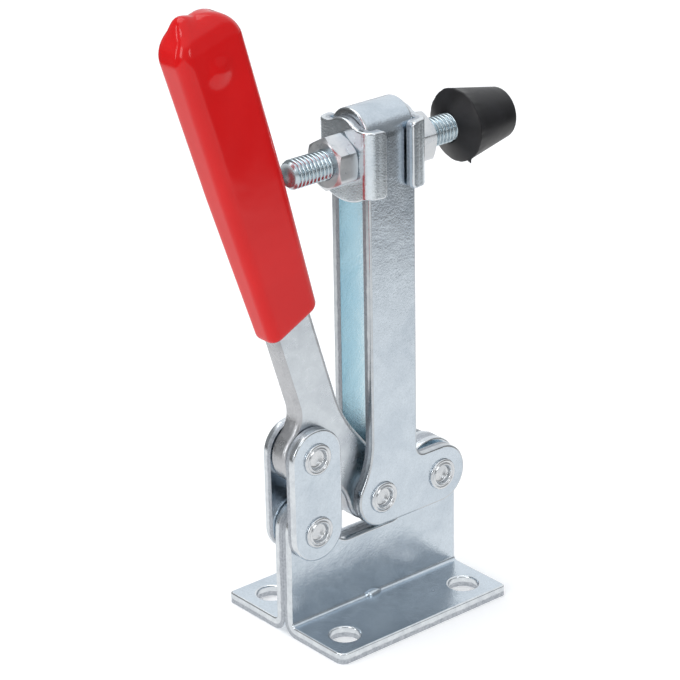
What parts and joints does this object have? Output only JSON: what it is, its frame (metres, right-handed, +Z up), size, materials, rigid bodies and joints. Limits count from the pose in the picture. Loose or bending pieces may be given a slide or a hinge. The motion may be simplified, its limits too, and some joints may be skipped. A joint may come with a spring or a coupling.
{
  "type": "toggle clamp",
  "caption": "Vertical-handle toggle clamp: flanged base, U-bar arm with an adjustable rubber-capped spindle, linked lever with a dipped grip.",
  "frame": {"origin": "middle of the four mounting holes, on the underside of the base flanges", "axes": "+X from the handle side towards the spindle's pad, +Y across the clamp, +Z up from the mounting face"},
  "size_m": [0.111, 0.0488, 0.1808],
  "materials": {
    "zinc_steel": "bright zinc plate, smooth, faintly mottled",
    "bright_steel": "bright plated, polished",
    "red_grip": "glossy dipped PVC",
    "black_rubber": "satin moulded rubber"
  },
  "bodies": {
    "base": {"base_plate_near": "zinc_steel", "base_plate_far": "zinc_steel", "rivet_b_core": "bright_steel"},
    "arm": {"u_bar_arm": "zinc_steel", "spacer_c_near": "zinc_steel", "spacer_c_far": "zinc_steel", "spacer_d_near": "zinc_steel", "spacer_d_far": "zinc_steel", "rivet_c": "bright_steel", "rivet_d": "bright_steel"},
    "handle": {"handle_lever": "zinc_steel", "handle_grip": "red_grip"},
    "links": {"link_plate_near": "zinc_steel", "link_plate_far": "zinc_steel", "rivet_a": "bright_steel", "rivet_b_near_end": "bright_steel", "rivet_b_far_end": "bright_steel"},
    "saddle": {"saddle_washer_rear": "zinc_steel", "saddle_washer_front": "zinc_steel", "spindle_nut_rear": "bright_steel", "spindle_nut_front": "bright_steel"},
    "spindle": {"spindle_bolt": "bright_steel", "rubber_cap": "black_rubber"}
  },
  "joints": [
    {"name": "arm_pivot", "type": "hinge", "parent": "base", "child": "arm", "pos_m": [0.0209, 0, 0.0346], "axis": [0, 1, 0], "range_deg": [0, 90]},
    {"name": "handle_pivot", "type": "hinge", "parent": "arm", "child": "handle", "pos_m": [-0.00045, 0, 0.0346], "axis": [0, -1, 0], "range_deg": [0, 162.86]},
    {"name": "link_pivot", "type": "hinge", "parent": "handle", "child": "links", "pos_m": [-0.0223, 0, 0.0525], "axis": [0, 1, 0], "range_deg": [0, 136.86]},
    {"name": "saddle_slide", "type": "slide", "parent": "arm", "child": "saddle", "axis": [0, 0, 1], "range_m": [-0.006, 0.005]},
    {"name": "spindle_slide", "type": "slide", "parent": "saddle", "child": "spindle", "axis": [1, 0, 0], "range_m": [0, 0.012]}
  ],
  "couplings": [
    {"joint": "handle_pivot", "follows": "arm_pivot", "ratio": 1.8093},
    {"joint": "link_pivot", "follows": "arm_pivot", "ratio": 1.5204}
  ]
}
